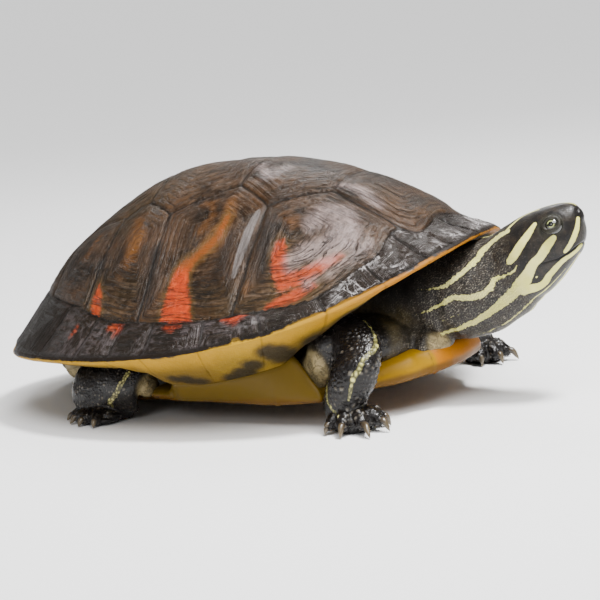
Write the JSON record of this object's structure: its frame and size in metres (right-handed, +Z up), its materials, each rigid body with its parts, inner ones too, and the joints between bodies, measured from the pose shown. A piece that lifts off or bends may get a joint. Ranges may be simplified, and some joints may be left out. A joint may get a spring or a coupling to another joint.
{
  "type": "red-bellied cooter turtle",
  "caption": "Life-size freshwater turtle standing with its neck out, red-barred dark domed shell, yellow belly shell and striped dark skin.",
  "frame": {"origin": "on the floor, at the middle of the turtle's box", "axes": "+X forward to the snout, +Y to the turtle's left, +Z up from the floor"},
  "size_m": [0.3312, 0.2156, 0.128],
  "materials": {
    "carapace": "satin, worn horn",
    "plastron": "satin, smooth horn",
    "skin": "matte, granular scales",
    "eye": "glossy"
  },
  "bodies": {
    "root": {"carapace": "carapace", "plastron": "plastron", "eye_left": "eye", "eye_right": "eye", "torso": "skin", "neck": "skin", "head": "skin", "lower_jaw": "skin", "tail": "skin", "foreleg_upper_left": "skin", "foreleg_lower_left": "skin", "forefoot_left": "skin", "hindleg_upper_left": "skin", "hindleg_lower_left": "skin", "hindfoot_left": "skin", "foreleg_upper_right": "skin", "foreleg_lower_right": "skin", "forefoot_right": "skin", "hindleg_upper_right": "skin", "hindleg_lower_right": "skin", "hindfoot_right": "skin"}
  },
  "joints": []
}
